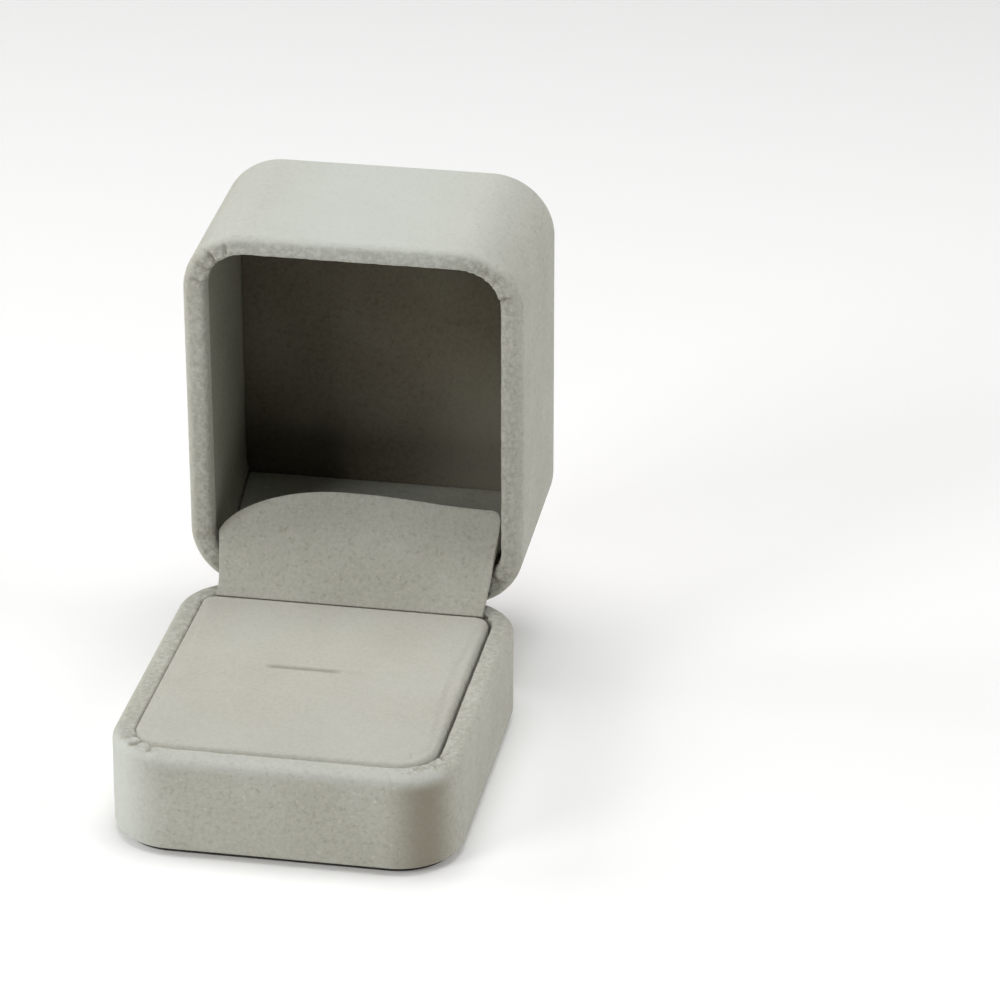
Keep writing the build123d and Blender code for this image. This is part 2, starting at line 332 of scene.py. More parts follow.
def makePileGroup():
    # Short pile: broad nap patches, fine pits between tufts and a few pale flecks.
    tree, start, end = newGroup("velvetPile", [
        ("Vector", "NodeSocketVector", None), ("Main", "NodeSocketColor", None),
        ("Shade", "NodeSocketColor", None), ("Fleck", "NodeSocketColor", None),
        ("Pits", "NodeSocketFloat", 0.5), ("Patches", "NodeSocketFloat", 0.3),
        ("Flecks", "NodeSocketFloat", 0.3)],
        [("Color", "NodeSocketColor"), ("Height", "NodeSocketFloat"), ("Roughness", "NodeSocketFloat")])
    vector = start.outputs["Vector"]
    broad = addRange(tree, addNoise(tree, vector, 95, 2), 0.35, 0.68)
    tuft = addNoise(tree, vector, 1900, 3, 0.6)
    pit = addRange(tree, addNoise(tree, vector, 1150, 3, 0.65), 0.54, 0.70)
    grain = addNoise(tree, vector, 4200, 1)
    fleck = addRange(tree, addNoise(tree, vector, 1300, 2, 0.7), 0.64, 0.74)
    patch = addMath(tree, "MULTIPLY", broad, start.outputs["Patches"])
    pitted = addMath(tree, "MULTIPLY", pit, start.outputs["Pits"])
    tufted = addRange(tree, tuft, 0.38, 0.62, 0.0, 0.26)
    shade = addMath(tree, "ADD", addMath(tree, "ADD", patch, pitted), tufted, clamp=True)
    colour = addMix(tree, shade, start.outputs["Main"], start.outputs["Shade"])
    pale = addMath(tree, "MULTIPLY", fleck, start.outputs["Flecks"])
    colour = addMix(tree, pale, colour, start.outputs["Fleck"])
    height = addMath(tree, "ADD", addMath(tree, "MULTIPLY", tuft, 0.6), addMath(tree, "MULTIPLY", grain, 0.4))
    height = addMath(tree, "SUBTRACT", height, addMath(tree, "MULTIPLY", pit, 0.5))
    rough = addRange(tree, tuft, 0.3, 0.7, 0.86, 1.0)
    tree.links.new(colour, end.inputs["Color"])
    tree.links.new(height, end.inputs["Height"])
    tree.links.new(rough, end.inputs["Roughness"])
    return tree


pileGroup = makePileGroup()


def startMaterial(name, colour):
    material = bpy.data.materials.new(name)
    material.use_nodes = True
    material.diffuse_color = colour
    tree = material.node_tree
    shader = tree.nodes["Principled BSDF"]
    place = tree.nodes.new("ShaderNodeTexCoord").outputs["Object"]
    return material, tree, shader, place


def addBump(tree, shader, height, strength, distance):
    bump = addNode(tree, "ShaderNodeBump", {"Strength": strength, "Distance": distance}, {"Height": height})
    tree.links.new(bump.outputs["Normal"], shader.inputs["Normal"])


def readPaint(tree, name):
    return addNode(tree, "ShaderNodeAttribute", attribute_name=name).outputs["Fac"]


def makeVelvet(name, look):
    material, tree, shader, place = startMaterial(name, look["main"])
    pile = addNode(tree, "ShaderNodeGroup", node_tree=pileGroup)
    tree.links.new(place, pile.inputs["Vector"])
    for key, socket in (("main", "Main"), ("shade", "Shade"), ("fleck", "Fleck"), ("pits", "Pits"),
                        ("patches", "Patches"), ("flecks", "Flecks")):
        pile.inputs[socket].default_value = look[key]
    colour = pile.outputs["Color"]
    height = pile.outputs["Height"]
    if look["painted"]:
        # Paler nap and painted highlight: lightened towards the pale colour where the mask asks.
        paleAndHighlightAmount = addMath(tree, "MULTIPLY", readPaint(tree, "brushed"), 0.8)
        colour = addMix(tree, paleAndHighlightAmount, colour, look["brushed"])
        crumbs = addRange(tree, addNoise(tree, place, 1250, 3, 0.7), 0.40, 0.62)
        edge = addMix(tree, crumbs, look["crack"], look["worn"])
        worn = readPaint(tree, "worn")
        colour = addMix(tree, addMath(tree, "MULTIPLY", worn, 0.75), colour, edge)
        # Painted shade: darkened towards the brown shade colour where the mask asks.
        colour = addMix(tree, readPaint(tree, "soiled"), colour, look["soiled"])
        crumbled = addMath(tree, "MULTIPLY", addMath(tree, "MULTIPLY", worn, crumbs), 1.2)
        height = addMath(tree, "ADD", height, crumbled)
    tree.links.new(colour, shader.inputs["Base Color"])
    tree.links.new(pile.outputs["Roughness"], shader.inputs["Roughness"])
    shader.inputs["Sheen Weight"].default_value = look["sheen"]
    shader.inputs["Sheen Roughness"].default_value = 0.45
    shader.inputs["Sheen Tint"].default_value = look["sheenTint"]
    shader.inputs["Specular IOR Level"].default_value = 0.12
    addBump(tree, shader, height, look["bump"], 0.00016)
    return material


# In the velvet looks the brownish dark colour is the colour of painted shade, and the last, pale colour is
# that of painted highlight and of paler nap.
greyLook = {"main": (0.52, 0.515, 0.452, 1), "shade": (0.33, 0.32, 0.262, 1), "fleck": (0.72, 0.71, 0.65, 1),
            "pits": 0.42, "patches": 0.2, "flecks": 0.38, "sheen": 0.18, "sheenTint": (0.95, 0.96, 0.92, 1),
            "bump": 0.5, "painted": True, "worn": (0.59, 0.59, 0.54, 1), "crack": (0.30, 0.295, 0.25, 1),
            "soiled": (0.27, 0.24, 0.18, 1),
            "brushed": (0.60, 0.625, 0.58, 1)}
padLook = dict(greyLook, main=(0.52, 0.51, 0.45, 1), shade=(0.40, 0.39, 0.335, 1), pits=0.2, flecks=0.15,
               bump=0.35)
# The wall lining is the grey velvet darkened as painted shade, for the shade inside the lid.
shadedLiningLook = dict(greyLook, main=(0.30, 0.295, 0.24, 1), shade=(0.19, 0.185, 0.145, 1),
                  fleck=(0.44, 0.43, 0.38, 1), sheen=0.06, flecks=0.2, worn=(0.37, 0.365, 0.31, 1),
                  crack=(0.22, 0.215, 0.17, 1), soiled=(0.15, 0.14, 0.10, 1), brushed=(0.33, 0.33, 0.275, 1))
# The rear lining is the lining velvet made lighter as painted light, where light falls on it inside the lid.
litRearLook = dict(shadedLiningLook, main=(0.46, 0.465, 0.42, 1), shade=(0.31, 0.31, 0.27, 1),
                brushed=(0.50, 0.51, 0.465, 1), soiled=(0.24, 0.23, 0.19, 1))
# The ceiling is the velvet made much darker as painted shade, for the shade deep in the lid.
shadedCeilingLook = dict(shadedLiningLook, main=(0.145, 0.129, 0.095, 1), shade=(0.085, 0.072, 0.051, 1),
                   fleck=(0.21, 0.19, 0.15, 1), sheen=0.03, brushed=(0.26, 0.245, 0.195, 1),
                   soiled=(0.06, 0.055, 0.04, 1))
pinkLook = {"main": (0.84, 0.535, 0.565, 1), "shade": (0.71, 0.375, 0.41, 1), "fleck": (0.93, 0.72, 0.74, 1),
            "pits": 0.25, "patches": 0.22, "flecks": 0.3, "sheen": 0.3, "sheenTint": (1.0, 0.86, 0.88, 1),
            "bump": 0.4, "painted": False}
greyVelvet = makeVelvet("greyVelvet", greyLook)
padVelvet = makeVelvet("padVelvet", padLook)
liningVelvet = makeVelvet("liningVelvet", shadedLiningLook)
litRearVelvet = makeVelvet("rearLiningVelvet", litRearLook)
ceilingVelvet = makeVelvet("ceilingVelvet", shadedCeilingLook)
pinkVelvet = makeVelvet("pinkVelvet", pinkLook)


def makeGrainGroup():
    # A fine even grain with softer clouding, for board, foam and moulded pieces.
    tree, start, end = newGroup("fineGrain", [
        ("Vector", "NodeSocketVector", None), ("Light", "NodeSocketColor", None),
        ("Dark", "NodeSocketColor", None), ("Scale", "NodeSocketFloat", 1500.0)],
        [("Color", "NodeSocketColor"), ("Height", "NodeSocketFloat"), ("Roughness", "NodeSocketFloat")])
    fine = addNode(tree, "ShaderNodeTexNoise", {"Detail": 4.0, "Roughness": 0.6},
                   {"Vector": start.outputs["Vector"], "Scale": start.outputs["Scale"]}).outputs["Fac"]
    cloud = addNoise(tree, start.outputs["Vector"], 110, 2)
    factor = addMath(tree, "ADD", addRange(tree, fine, 0.35, 0.7, 0.0, 0.6),
                     addRange(tree, cloud, 0.35, 0.7, 0.0, 0.4), clamp=True)
    tree.links.new(addMix(tree, factor, start.outputs["Light"], start.outputs["Dark"]), end.inputs["Color"])
    tree.links.new(fine, end.inputs["Height"])
    tree.links.new(addRange(tree, fine, 0.3, 0.7, 0.0, 1.0), end.inputs["Roughness"])
    return tree


grainGroup = makeGrainGroup()


def makeGrained(name, look):
    material, tree, shader, place = startMaterial(name, look["light"])
    if "stretch" in look:
        place = addNode(tree, "ShaderNodeMapping", {"Scale": look["stretch"]}, {"Vector": place}).outputs[0]
    values = {"Light": look["light"], "Dark": look["dark"], "Scale": look["scale"]}
    grain = addNode(tree, "ShaderNodeGroup", values, {"Vector": place}, node_tree=grainGroup)
    tree.links.new(grain.outputs["Color"], shader.inputs["Base Color"])
    rough = addRange(tree, grain.outputs["Roughness"], 0.0, 1.0, look["rough"][0], look["rough"][1])
    tree.links.new(rough, shader.inputs["Roughness"])
    shader.inputs["Metallic"].default_value = look.get("metal", 0.0)
    addBump(tree, shader, grain.outputs["Height"], look["bump"], 0.0001)
    return material


boardPaper = makeGrained("greyBoard", {"light": (0.56, 0.50, 0.40, 1), "dark": (0.40, 0.35, 0.27, 1),
                                       "scale": 2600.0, "rough": (0.8, 0.95), "bump": 0.35})
solePaper = makeGrained("soleBoard", {"light": (0.055, 0.05, 0.045, 1), "dark": (0.025, 0.022, 0.02, 1),
                                      "scale": 1900.0, "rough": (0.65, 0.9), "bump": 0.4})
shellPlastic = makeGrained("shellPlastic", {"light": (0.66, 0.65, 0.61, 1), "dark": (0.58, 0.57, 0.53, 1),
                                            "scale": 900.0, "rough": (0.42, 0.6), "bump": 0.12})
padFoam = makeGrained("padFoam", {"light": (0.82, 0.79, 0.71, 1), "dark": (0.62, 0.58, 0.50, 1),
                                  "scale": 3200.0, "rough": (0.9, 1.0), "bump": 0.9})
hingeSteel = makeGrained("hingeSteel", {"light": (0.72, 0.71, 0.68, 1), "dark": (0.50, 0.49, 0.46, 1),
                                        "scale": 1400.0, "rough": (0.24, 0.42), "bump": 0.2, "metal": 1.0,
                                        "stretch": (0.12, 1.0, 1.0)})
rivetSteel = makeGrained("rivetSteel", {"light": (0.66, 0.65, 0.63, 1), "dark": (0.42, 0.41, 0.40, 1),
                                        "scale": 1700.0, "rough": (0.2, 0.38), "bump": 0.15, "metal": 1.0})
springSteel = makeGrained("springSteel", {"light": (0.36, 0.39, 0.44, 1), "dark": (0.20, 0.22, 0.27, 1),
                                          "scale": 1600.0, "rough": (0.25, 0.45), "bump": 0.15, "metal": 1.0,
                                          "stretch": (1.0, 0.15, 0.15)})
nodeMaterials = {"base_sole": solePaper, "base_shell": shellPlastic, "lid_shell": shellPlastic,
                 "pad_card": boardPaper, "flap_tongue": boardPaper, "flap_card": boardPaper,
                 "lid_ceiling_card": boardPaper, "top_pad_card": boardPaper, "pad_foam": padFoam,
                 "top_pad_foam": padFoam, "hinge_base_leaf": hingeSteel, "hinge_lid_leaf": hingeSteel,
                 "hinge_pin": hingeSteel, "base_leaf_rivets": rivetSteel, "lid_leaf_rivets": rivetSteel}
for nodeName, nodeMaterial in nodeMaterials.items():
    frame["nodes"][nodeName].data.materials.clear()
    frame["nodes"][nodeName].data.materials.append(nodeMaterial)
print("materials made")


rimLook = {"pleatDepth": 0.42, "pleatWidth": 2.0, "crumb": 0.09, "wave": 0.05, "drift": 0.02,
           "most": 0.08, "reach": 2.2,
           "pleats": ((14, 33, 48, 69), (20, 41, 57, 74), (10, 29, 52, 66, 80), (24, 38, 61, 78))}
hingeRoom = {"bevel": 0.2, "reach": 6, "slotHalf": 1.5, "slotEnds": barrelHigh.x + 0.35, "slotBlend": 0.5,
             "slotDepth": 0.2, "lipGap": 0.05}


def cornerAngle(place):
    # Which corner a point belongs to, and how far round it is in degrees.
    across = abs(place.x) - (boxSize["width"] / 2 - boxSize["corner"])
    along = abs(place.y) - (boxSize["depth"] / 2 - boxSize["corner"])
    index = (1 if place.x > 0 else 0) + (2 if place.y > 0 else 0)
    return index, degrees(atan2(max(along, 0), max(across, 0.001))), across > 0 and along > 0


def creaseDepth(place, look):
    # The gathers where the velvet is turned over the rim at a corner.
    index, angle, inCorner = cornerAngle(place)
    if not inCorner:
        return 0.0
    depth = 0.0
    for number, pleat in enumerate(look["pleats"][index]):
        shift = 6.0 * fuzz(place, 1.1, number + 3)
        strength = max(0, 0.45 + 0.4 * sin(7.1 * number + 2 * index) + 0.5 * fuzz(place, 0.9, number + 7))
        width = look["pleatWidth"] * (1 + 0.4 * sin(3.3 * number + index))
        depth += strength * exp(-((angle + shift - pleat) / width) ** 2)
    return depth


def rimNearness(place, rimHeight, look):
    # 1 on the rim, falling to 0 a little way down the wall.
    return 1 - smoothStep(abs(place.z - rimHeight), 0.35 * look["reach"], look["reach"])


def insideRim(place):
    # How far in from the outer face a point lies.
    across = boxSize["width"] / 2 - abs(place.x)
    along = boxSize["depth"] / 2 - abs(place.y)
    index, angle, inCorner = cornerAngle(place)
    if inCorner:
        centre = (boxSize["width"] / 2 - boxSize["corner"], boxSize["depth"] / 2 - boxSize["corner"])
        return boxSize["corner"] - hypot(abs(place.x) - centre[0], abs(place.y) - centre[1])
    return min(across, along)


def hingeCut(place, upper):
    # Keeps a point in front of the bevel behind the hinge and out of the barrel slot.
    place = place.copy()
    side = 1 if upper else -1
    rise = side * (place.z - hingePoint.z)
    past = (place.y - hingePoint.y - rise) / sqrt(2) + hingeRoom["bevel"]
    if past > 0 and rise < hingeRoom["reach"]:
        place.y -= past / sqrt(2)
        place.z += side * past / sqrt(2)
    slotEnds = hingeRoom["slotEnds"]
    ends = 1 - smoothStep(abs(place.x), slotEnds, slotEnds + hingeRoom["slotBlend"])
    rise = side * (place.z - hingePoint.z)
    slotFront = baseHigh.y - boxSize["rim"] - hingeRoom["slotDepth"]
    if ends > 0 and place.y > slotFront and rise < hingeRoom["slotHalf"]:
        place.z += side * ends * (hingeRoom["slotHalf"] + hingeRoom["lipGap"] - rise)
    return place


def rimMask(place, rims):
    # 1 where the velvet is turned over a rim and in, 0 on the outside walls.
    near = max(rimNearness(place, rim, rimLook) for rim in rims)
    return near * smoothStep(insideRim(place), 0.5, 1.5)


def dressSkin(piece, rims, upper):
    # Gathers, crumbs and soft waves where a skin is turned in, then the cuts for the hinge.
    def change(place, normal):
        inside = rimMask(place, rims)
        index, angle, inCorner = cornerAngle(place)
        corner = smoothStep(angle, 2, 14) * (1 - smoothStep(angle, 76, 88)) if inCorner else 0
        moved = -rimLook["pleatDepth"] * inside * creaseDepth(place, rimLook)
        moved += rimLook["crumb"] * inside * (0.6 + 1.2 * corner) * fuzz(place, 0.7, 1)
        moved += rimLook["wave"] * inside * fuzz(place, 2.4, 5)
        moved += rimLook["drift"] * fuzz(place, 12, 9)
        return hingeCut(place + normal * min(moved, rimLook["most"]), upper)
    moveVertices(piece, change)


def nearPatches(place, patches):
    # How far a point lies inside the patches, each a centre, a reach and a strength.
    value = 0.0
    for centre, reach, strength in patches:
        away = hypot((place.x - centre[0]) / reach[0], (place.y - centre[1]) / reach[1])
        value += strength * (1 - smoothStep(away, 0.1, 1))
    return value


def paintSkin(piece, rims, look):
    # Where the pile is rubbed at the rims; painted shade in the crease gathers and in listed patches; painted
    # highlight along the front rim and in listed patches.
    def worn(place):
        index, angle, inCorner = cornerAngle(place)
        corner = smoothStep(angle, 0, 25) * (1 - smoothStep(angle, 65, 90)) if inCorner else 0
        side = smoothStep(abs(place.x), boxSize["width"] / 2 - 4, boxSize["width"] / 2 - 3)
        straight = look["worn"][0] + (look["sideWorn"] - look["worn"][0]) * side
        amount = straight + (look["worn"][1] - straight) * corner
        return rimMask(place, rims) * amount * (0.8 + 0.2 * fuzz(place, 4, 15))

    # Painted shade: in the listed patches, fading out towards the rim, and in the crease gathers at the
    # corners.
    def soiled(place):
        value = nearPatches(place, look["soiled"])
        value *= 1 - smoothStep(place.z, rims[0] - 2.6, rims[0] - 0.6)
        return min(1, value + 0.75 * rimMask(place, rims) * min(1, creaseDepth(place, rimLook)))

    # Painted highlight: along the front rim and in the listed patches.
    def brushed(place):
        front = smoothStep(-place.y, boxSize["depth"] / 2 - 5, boxSize["depth"] / 2 - 3)
        rim = look["rimHighlight"] * front * rimNearness(place, rims[-1], rimLook)
        return min(1, max(rim, nearPatches(place, look["brushed"])))
    paint(piece, "worn", worn)
    paint(piece, "soiled", soiled)
    paint(piece, "brushed", brushed)


def makeBaseVelvet():
    # A painted highlight at the front left corner and along the front rim, and painted shade at the front
    # right corner.
    look = {"foot": 1.4, "under": 8.0, "lip": 3.0, "worn": (0.22, 0.9),
            "sideWorn": 0.65, "rimHighlight": 0.55,
            "brushed": [((-23.0, -26.0), (9.0, 9.0), 0.9)], "soiled": [((20.4, -26.6), (6.4, 5.5), 0.85)]}
    # The ring pad presses the inner edge of the rim up, so it is rounded less than the lid's.
    size = dict(boxSize, rimInside=0.5)
    start = baseLow.z + look["foot"]
    piece = startOutline("baseVelvet", boxSize, start, 600)
    raiseFace(baseHigh.z - size["rimOutside"] - start, 20)
    rollRim(size, look["lip"] - size["rimInside"], -1)
    pickEndFace(piece, start)
    roundIn(look["foot"], 5)
    stepIn(look["under"] - look["foot"], 0, 4)
    bpy.ops.mesh.delete(type="FACE")
    thickenSkin(piece, size)
    dressSkin(piece, [baseHigh.z], upper=False)
    paintSkin(piece, [baseHigh.z], look)
    return finishPiece(piece, "base", greyVelvet, ["base_velvet"])


def makeLidVelvet():
    # A painted highlight over the front wall, which faces up with the lid open.
    look = {"lip": 3.0, "topLip": 1.6, "worn": (0.7, 0.95),
            "sideWorn": 0.7, "rimHighlight": 0.0,
            "brushed": [((0.0, -28.7), (40.0, 6.0), 0.95)], "soiled": []}
    start = lidLow.z + boxSize["rimOutside"]
    piece = startOutline("lidVelvet", boxSize, start, 540)
    raiseFace(lidHigh.z - boxSize["rimOutside"] - start, 28)
    rollRim(boxSize, look["topLip"] - boxSize["rimInside"], -1)
    pickEndFace(piece, start)
    rollRim(boxSize, look["lip"] - boxSize["rimInside"], 1)
    thickenSkin(piece, boxSize)
    dressSkin(piece, [lidLow.z, lidHigh.z], upper=True)
    paintSkin(piece, [lidLow.z, lidHigh.z], look)
    return finishPiece(piece, "lid", greyVelvet, ["lid_velvet"], turned=True)


wallLow, wallHigh = nodeBox("lid_wall_lining", shut=True)
rearLow, rearHigh = nodeBox("lid_rear_lining", shut=True)
ceilingLow, ceilingHigh = nodeBox("lid_ceiling_velvet", shut=True)


def paintLining(piece, look):
    # Rubbed along the mouth, painted shade towards the top where the pile meets the ceiling, paler in random
    # patches.
    paint(piece, "worn", lambda place: look["worn"] * (1 - smoothStep(place.z - lidLow.z, 0.0, 6.0))
          * (0.5 + 0.5 * fuzz(place, 1.5, 61)))
    # Painted shade towards the top corner.
    paint(piece, "soiled", lambda place: look["soiled"] * smoothStep(place.z, wallHigh.z - 2.5, wallHigh.z))
    paint(piece, "brushed", lambda place: look["brushed"] * smoothStep(fuzz(place, 12, 62), -0.3, 0.5))


def makeWallLining():
    # Lines the two sides and the front, and is cut off at the slope of the rear lining.
    look = {"inset": 2.72, "skin": 0.5, "ease": 0.08, "pile": 0.03, "slopeFoot": 23.62,
            "slopeTop": 21.52, "worn": 0.3, "soiled": 0.25, "brushed": 0.3}
    size = dict(boxSize, width=boxSize["width"] - 2 * look["inset"],
                depth=boxSize["depth"] - 2 * look["inset"], corner=boxSize["corner"] - look["inset"])
    piece = startOutline("wallLining", size, wallLow.z + look["ease"], 420)
    raiseFace(wallHigh.z - wallLow.z - 2 * look["ease"], 24)
    bpy.ops.mesh.delete(type="FACE")
    pickEndFace(piece, wallLow.z + look["ease"])
    bpy.ops.mesh.delete(type="FACE")
    bpy.ops.mesh.select_all(action="SELECT")
    across = Vector((0, wallHigh.z - wallLow.z, look["slopeFoot"] - look["slopeTop"])).normalized()
    bpy.ops.mesh.bisect(plane_co=(0, look["slopeFoot"], wallLow.z), plane_no=across, clear_outer=True)
    thickenSkin(piece, look)
    moveVertices(piece, lambda place, normal: place + normal * look["pile"] * fuzz(place, 0.9, 63))
    paintLining(piece, look)
    return finishPiece(piece, "lid", liningVelvet, ["lid_wall_lining"], turned=True)


def makeSheet(name, grid, outline):
    # A flat grid drawn into an outline: the function turns (u, v) from -1 to 1 into a place.
    clearSelection()
    bpy.ops.mesh.primitive_grid_add(x_subdivisions=grid[0], y_subdivisions=grid[1], size=2)
    piece = bpy.context.object
    piece.name = piece.data.name = name
    moveVertices(piece, lambda place, normal: outline(place.x, place.y))
    return piece


def softenEdge(piece, width):
    bevel = piece.modifiers.new("softEdge", "BEVEL")
    bevel.width = width
    bevel.segments = 3
    bevel.limit_method = "ANGLE"
    bevel.angle_limit = radians(50)
    applyModifiers(piece)


def makeRearLining():
    # The sloping back wall of the lid, with the hinge behind it.
    look = {"inset": 2.88, "front": (23.83, 21.73), "skin": 0.62, "ease": 0.08, "bulge": 0.12,
            "soft": 0.15, "pile": 0.03, "worn": 0.3, "soiled": 0.3, "brushed": 0.3}
    corner = boxSize["corner"] - look["inset"]
    flatX, flatY = boxSize["width"] / 2 - boxSize["corner"], boxSize["depth"] / 2 - boxSize["corner"]

    def outline(u, v):
        share = (v + 1) / 2
        y = look["front"][0] + (look["front"][1] - look["front"][0]) * share
        z = rearLow.z + look["ease"] + (rearHigh.z - rearLow.z - 2 * look["ease"]) * share
        x = u * (flatX + sqrt(corner ** 2 - (y + look["skin"] - flatY) ** 2))
        return Vector((x, y - look["bulge"] * (1 - u ** 4) * (1 - v ** 4), z))
    piece = makeSheet("rearLining", (90, 46), outline)
    thicken(piece, look["skin"])
    softenEdge(piece, look["soft"])
    moveVertices(piece, lambda place, normal: place + normal * look["pile"] * fuzz(place, 0.9, 64))
    paintLining(piece, look)
    return finishPiece(piece, "lid", litRearVelvet, ["lid_rear_lining"], turned=True)


def makeCeilingVelvet():
    # The inside of the top, slightly puffed over its card, paler in random patches and with painted light
    # towards one corner.
    look = {"inset": 2.7, "skin": 0.5, "ease": 0.04, "puff": 0.14, "soft": 0.12, "pile": 0.02,
            "brushed": 0.2, "patch": 1.1}
    halfX = (ceilingHigh.x - ceilingLow.x) / 2 - look["ease"]
    halfY = (ceilingHigh.y - ceilingLow.y) / 2 - look["ease"]
    corner = boxSize["corner"] - look["inset"]
    middle = (ceilingLow + ceilingHigh) / 2

    def outline(u, v):
        x, y = u * halfX, v * halfY
        across, along = abs(x) - (halfX - corner), abs(y) - (halfY - corner)
        if across > 0 and along > 0:
            shrink = max(across, along) / hypot(across, along)
            x = (1 if x > 0 else -1) * (halfX - corner + across * shrink)
            y = (1 if y > 0 else -1) * (halfY - corner + along * shrink)
        lift = look["puff"] * (1 - u ** 6) * (1 - v ** 6) + 0.04 * fuzz(Vector((x, y, 0)), 9, 65)
        return Vector((x + middle.x, y + middle.y, ceilingLow.z + look["skin"] + look["puff"] - lift))
    piece = makeSheet("ceilingVelvet", (84, 96), outline)
    thicken(piece, look["skin"])
    softenEdge(piece, look["soft"])
    moveVertices(piece, lambda place, normal: place + normal * look["pile"] * fuzz(place, 0.9, 66))
    paint(piece, "worn", lambda place: 0.0)
    paint(piece, "soiled", lambda place: 0.0)
    # Paler in random patches, plus painted light growing towards one corner.
    paint(piece, "brushed", lambda place: look["brushed"] * smoothStep(fuzz(place, 12, 62), -0.2, 0.6)
          + look["patch"] * smoothStep(place.x, 0, 20) * smoothStep(place.y, -6, 14))
    return finishPiece(piece, "lid", ceilingVelvet, ["lid_ceiling_velvet"], turned=True)


baseVelvet = makeBaseVelvet()
lidVelvet = makeLidVelvet()
wallLining = makeWallLining()
rearLining = makeRearLining()
makeCeilingVelvet()
print("linings made", len(wallLining.data.polygons), len(rearLining.data.polygons))
print("skins made", len(baseVelvet.data.polygons), len(lidVelvet.data.polygons))


def makeCushion(name, low, high, corners, look):
    # A crowned pad on a grid: its outline, its rounded edges and its sides.
    width, depth = high.x - low.x, high.y - low.y
    middle = (low + high) / 2
    clearSelection()
    bpy.ops.mesh.primitive_grid_add(x_subdivisions=look["grid"][0], y_subdivisions=look["grid"][1], size=1)
    piece = bpy.context.object
    piece.name = piece.data.name = name

    def spread(value):
        # Draws the rows towards the edges, where the pad rounds off.
        return 0.72 * value + 0.28 * sin(pi / 2 * value)

    def change(place, normal):
        x = width / 2 * spread(2 * place.x)
        y = depth / 2 * spread(2 * place.y)
        radius = corners[0] if y < 0 else corners[1]
        across, along = abs(x) - (width / 2 - radius), abs(y) - (depth / 2 - radius)
        if across > 0 and along > 0:
            shrink = max(across, along) / hypot(across, along)
            across, along = across * shrink, along * shrink
            edge = radius - hypot(across, along)
            x = (1 if x > 0 else -1) * (width / 2 - radius + across)
            y = (1 if y > 0 else -1) * (depth / 2 - radius + along)
        else:
            edge = min(width / 2 - abs(x), depth / 2 - abs(y))
        soft = look["edge"]
        drop = 0.0
        if edge < soft:
            drop = soft - sqrt(max(0, soft ** 2 - (soft - edge) ** 2))
        crown = look["crown"] * (1 - (x / (width / 2)) ** 2) * (1 - (2 * y / depth) ** 2)
        height = high.z - look["crown"] - look["sink"] + crown - drop
        height += look["uneven"] * fuzz(Vector((x, y, 0)), 11, look["seed"]) * smoothStep(edge, 0, 3)
        height += look["tufts"] * fuzz(Vector((x, y, 0)), 0.8, look["seed"] + 2)
        atRight = smoothStep(x, width / 2 - 1.5, width / 2)
        x += look.get("ragged", 0.0) * atRight * fuzz(Vector((0, y, 0)), 1.3, 37)
        return Vector((x + middle.x, y + middle.y, height))
    moveVertices(piece, change)
    editPiece(piece)
    bpy.ops.mesh.select_mode(type="EDGE")
    pick(piece, "edges", lambda edge: edge.is_boundary)
    reach = high.z - low.z - look["edge"] - look["crown"] - look["sink"]
    for step in range(6):
        bpy.ops.mesh.extrude_edges_move(TRANSFORM_OT_translate={"value": (0, 0, -reach / 6)})
    bpy.ops.mesh.edge_face_add()
    bpy.ops.mesh.select_mode(type="VERT")
    bpy.ops.mesh.select_all(action="SELECT")
    bpy.ops.mesh.normals_make_consistent(inside=False)
    clearSelection()
    return piece


def simulateLift(piece, push):
    # Lets a coarse copy of a pad swell under a little pressure, held round its foot, in a short
    # cloth simulation at a larger scale. Gives each point's place and how far it rises.
    clearSelection()
    before = [vertex.co.copy() for vertex in piece.data.vertices]
    top = max(place.z for place in before)
    held = piece.vertex_groups.new(name="held")
    held.add([index for index, place in enumerate(before) if place.z < top - push["free"]], 1.0, "REPLACE")
    piece.data.transform(Matrix.Scale(push["scale"], 4))
    cloth = piece.modifiers.new("swell", "CLOTH")
    cloth.settings.quality = 4
    cloth.settings.mass = 0.3
    cloth.settings.tension_stiffness = push["tension"]
    cloth.settings.compression_stiffness = push["tension"]
    cloth.settings.bending_stiffness = push["bending"]
    cloth.settings.vertex_group_mass = "held"
    cloth.settings.use_pressure = True
    cloth.settings.uniform_pressure_force = push["pressure"]
    cloth.settings.effector_weights.gravity = 0
    cloth.collision_settings.use_collision = False
    cloth.point_cache.frame_end = push["frames"]
    for number in range(1, push["frames"] + 1):
        bpy.context.scene.frame_set(number)
    applyModifiers(piece)
    bpy.context.scene.frame_set(1)
    lifts = [vertex.co.z / push["scale"] - place.z for vertex, place in zip(piece.data.vertices, before)]
    return before, lifts


def swell(piece, coarse, push):
    # Carries the lift of the coarse copy over to the pad, up to a cap, and deletes the copy.
    places, lifts = simulateLift(coarse, push)
    tree = kdtree.KDTree(len(places))
    for index, place in enumerate(places):
        tree.insert(place, index)
    tree.balance()
    for vertex in piece.data.vertices:
        near = tree.find_n(vertex.co, 4)
        weights = [1 / (0.05 + distance) for place, index, distance in near]
        lift = sum(lifts[index] * weight for (place, index, distance), weight in zip(near, weights))
        vertex.co.z += max(0, min(push["cap"], lift / sum(weights)))
    piece.data.update()
    bpy.data.objects.remove(coarse)
    print("swelled", piece.name, "simulated", round(max(lifts), 2), "mm, kept up to", push["cap"], "mm")


def slitOpen(x, look):
    # How open the slit is along its length: it has closed up towards the right.
    ends = 1 - smoothStep(abs(x), look["half"] - 0.8, look["half"])
    return ends * (1 - 0.8 * smoothStep(x, look["clear"] - 0.8, look["clear"] + 1.2))


